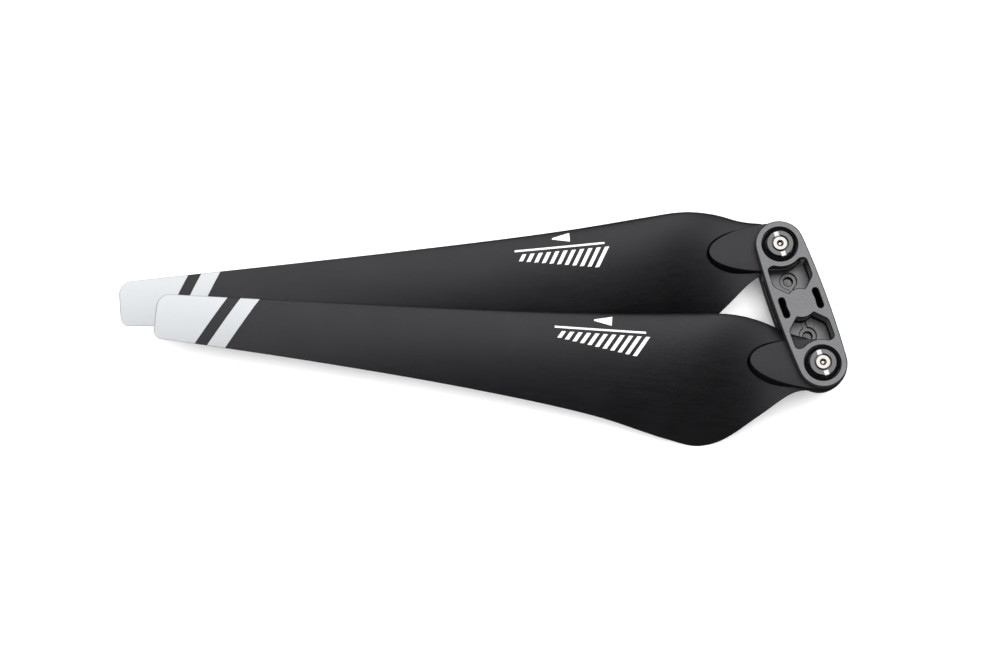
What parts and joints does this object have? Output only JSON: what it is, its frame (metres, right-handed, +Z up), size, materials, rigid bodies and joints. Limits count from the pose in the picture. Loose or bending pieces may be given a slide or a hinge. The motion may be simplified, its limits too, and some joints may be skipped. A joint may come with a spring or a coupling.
{
  "type": "propeller",
  "caption": "Folding drone propeller: long tapered carbon-filled nylon blades with silver tips pivot between the plates of a flat machined aluminium hub.",
  "frame": {"origin": "centre of the base plate's underside, the face that sits on the motor, on the spin axis", "axes": "+Z up along the spin axis; +X along the hub from pivot A to pivot B; the folded blades point towards -Y"},
  "size_m": [0.1186, 0.2489, 0.022],
  "materials": {
    "carbon_nylon": "matt black moulded carbon-filled nylon, very fine grain",
    "anodised_grey": "dark grey anodised, fine bead-blasted satin",
    "bare_aluminium": "bright machined",
    "bright_steel": "bright turned",
    "black_acetal": "black satin",
    "bronze": "plain bearing bronze",
    "silver_paint": "satin silver paint",
    "white_print": "matt white print"
  },
  "bodies": {
    "hub_body": {"hub_base_plate": "anodised_grey", "hub_spacer": "black_acetal", "hub_top_plate": "anodised_grey", "clamp_screw_1": "bright_steel", "clamp_screw_2": "bright_steel", "pivot_shaft_a": "bright_steel", "pivot_screw_a": "bright_steel", "pivot_collar_a": "anodised_grey", "spring_washer_a": "bright_steel", "recess_ring_a": "black_acetal", "lower_thrust_washer_a": "black_acetal", "upper_thrust_washer_a": "black_acetal", "pivot_shaft_b": "bright_steel", "pivot_screw_b": "bright_steel", "pivot_collar_b": "anodised_grey", "spring_washer_b": "bright_steel", "recess_ring_b": "black_acetal", "lower_thrust_washer_b": "black_acetal", "upper_thrust_washer_b": "black_acetal"},
    "blade_a_body": {"blade_a": "carbon_nylon", "blade_bush_a": "bronze"},
    "blade_b_body": {"blade_b": "carbon_nylon", "blade_bush_b": "bronze"}
  },
  "joints": [
    {"name": "blade_a_hinge", "type": "hinge", "parent": "hub_body", "child": "blade_a_body", "pos_m": [-0.0232, 0, 0], "axis": [0, 0, -1], "range_deg": [0, 140]},
    {"name": "blade_b_hinge", "type": "hinge", "parent": "hub_body", "child": "blade_b_body", "pos_m": [0.0232, 0, 0], "axis": [0, 0, 1], "range_deg": [0, 176]}
  ]
}
